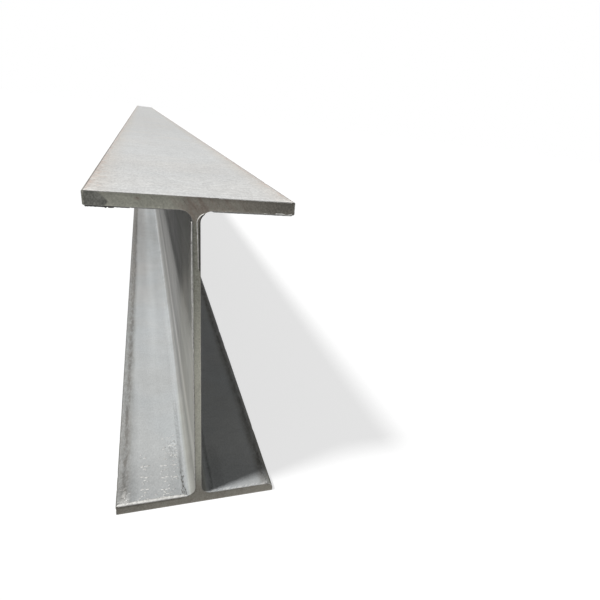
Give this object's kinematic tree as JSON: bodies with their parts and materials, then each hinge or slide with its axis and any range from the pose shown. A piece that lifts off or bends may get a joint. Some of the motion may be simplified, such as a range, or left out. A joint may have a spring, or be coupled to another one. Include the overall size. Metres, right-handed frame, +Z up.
{
  "type": "rolled steel h-beam",
  "caption": "Straight hot-rolled H-section beam with wide parallel flanges, filleted roots, rounded toes and square saw-cut ends, as a plain stock length.",
  "frame": {"origin": "middle of the underside of the bottom flange, halfway along the beam", "axes": "+Y along the beam, +X across the flanges, +Z up from the bottom flange to the top flange"},
  "size_m": [0.3, 12, 0.588],
  "materials": {
    "rolled_steel": "light grey mill scale with lengthwise rolling streaks, dull saw-cut ends and a little rust along the edges"
  },
  "bodies": {
    "root": {"h_beam": "rolled_steel"}
  },
  "joints": []
}
